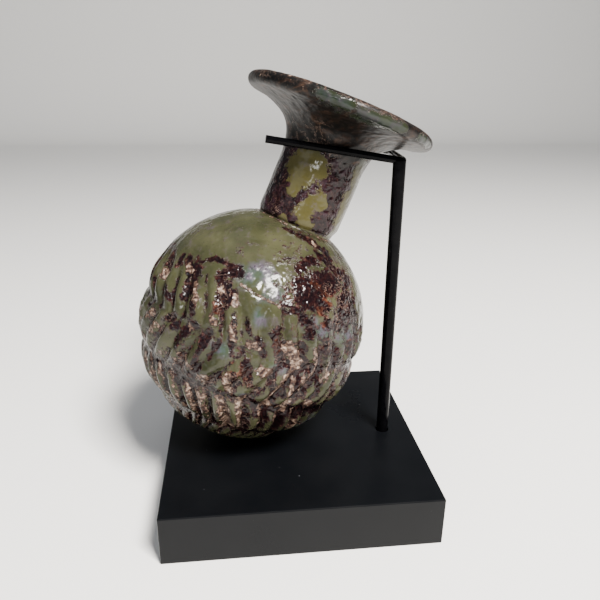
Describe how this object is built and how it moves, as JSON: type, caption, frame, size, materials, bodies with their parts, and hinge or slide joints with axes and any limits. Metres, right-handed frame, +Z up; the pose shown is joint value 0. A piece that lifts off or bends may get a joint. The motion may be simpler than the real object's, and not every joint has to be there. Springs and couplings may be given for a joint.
{
  "type": "roman glass bottle on a display stand",
  "caption": "Mould-blown round glass flask with a wide funnel rim, leaning on a square block in a wire neck fork on a post.",
  "frame": {"origin": "centre of the block's underside", "axes": "+Z up, -Y towards the front of the stand, +X to the side that the bottle leans to and the post stands on"},
  "size_m": [0.0864, 0.0786, 0.1219],
  "materials": {
    "olive_glass": "olive glass under a pitted brown, cream and iridescent weathering crust",
    "black_acrylic": "satin black, crisp edges",
    "black_enamel": "gloss black over steel rod"
  },
  "bodies": {
    "root": {"bottle": "olive_glass", "base_block": "black_acrylic", "post": "black_enamel", "neck_fork": "black_enamel"}
  },
  "joints": []
}
